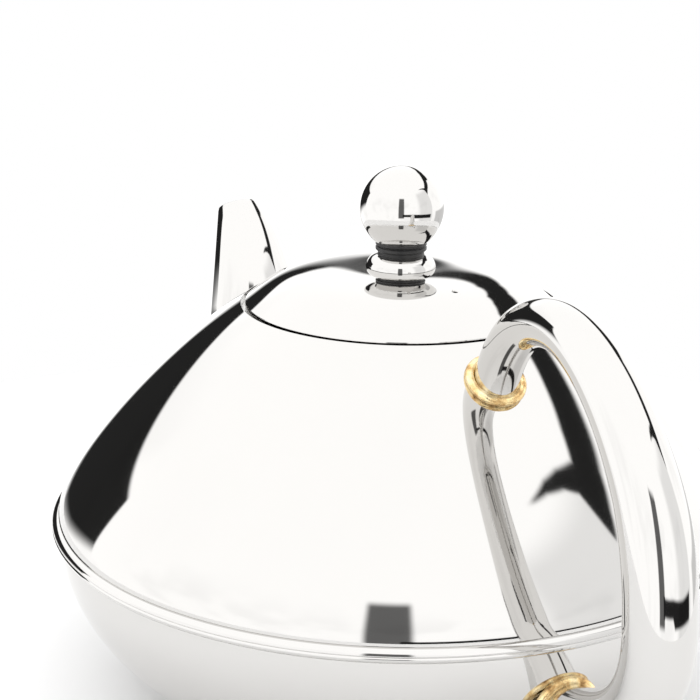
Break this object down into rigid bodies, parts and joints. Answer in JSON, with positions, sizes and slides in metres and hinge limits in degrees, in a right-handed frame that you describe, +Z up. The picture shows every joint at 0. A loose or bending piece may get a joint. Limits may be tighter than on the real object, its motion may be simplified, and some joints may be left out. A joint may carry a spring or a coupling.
{
  "type": "teapot",
  "caption": "Double-walled polished steel teapot with a round belly, lift-off domed lid with ball knob, tube handle with brass rings, curved spout and a lift-out infuser.",
  "frame": {"origin": "centre of the flat base, on the surface the pot stands on", "axes": "+Z up along the pot's axis, +X towards the spout, the handle is on -X"},
  "size_m": [0.2491, 0.18, 0.1388],
  "materials": {
    "polished_steel": "mirror polished",
    "satin_steel": "satin, as drawn and rolled",
    "brass": "polished, warm gold",
    "black_polymer": "fine-textured heat-insulating plastic"
  },
  "bodies": {
    "pot": {"upper_shell": "polished_steel", "lower_shell": "polished_steel", "belly_bead": "polished_steel", "mouth_collar": "satin_steel", "inner_dome": "satin_steel", "inner_bowl": "satin_steel", "base_plate": "satin_steel", "foot_ring": "polished_steel", "spout": "polished_steel", "spout_duct": "satin_steel", "spout_strainer": "satin_steel", "handle_tube": "polished_steel", "handle_upper_ring": "brass", "handle_lower_ring": "brass", "handle_upper_boss": "satin_steel", "handle_lower_boss": "satin_steel", "handle_upper_screw": "satin_steel", "handle_lower_screw": "satin_steel"},
    "lid": {"lid_shell": "polished_steel", "lid_liner": "satin_steel", "lid_skirt": "satin_steel", "knob_foot": "polished_steel", "knob_lower_spacer": "black_polymer", "knob_upper_spacer": "black_polymer", "knob_ball": "polished_steel", "knob_stud": "satin_steel", "knob_washer": "satin_steel", "knob_nut": "satin_steel"},
    "infuser": {"infuser_rim": "satin_steel", "infuser_basket": "satin_steel", "infuser_base": "satin_steel", "infuser_finger_loop": "satin_steel"}
  },
  "joints": [
    {"name": "lid_lift", "type": "slide", "parent": "pot", "child": "lid", "axis": [0, 0, 1], "range_m": [0, 0.16]},
    {"name": "infuser_lift", "type": "slide", "parent": "pot", "child": "infuser", "axis": [0, 0, 1], "range_m": [0, 0.08]}
  ],
  "couplings": [
    {"joint": "infuser_lift", "follows": "lid_lift", "ratio": 0.5}
  ]
}
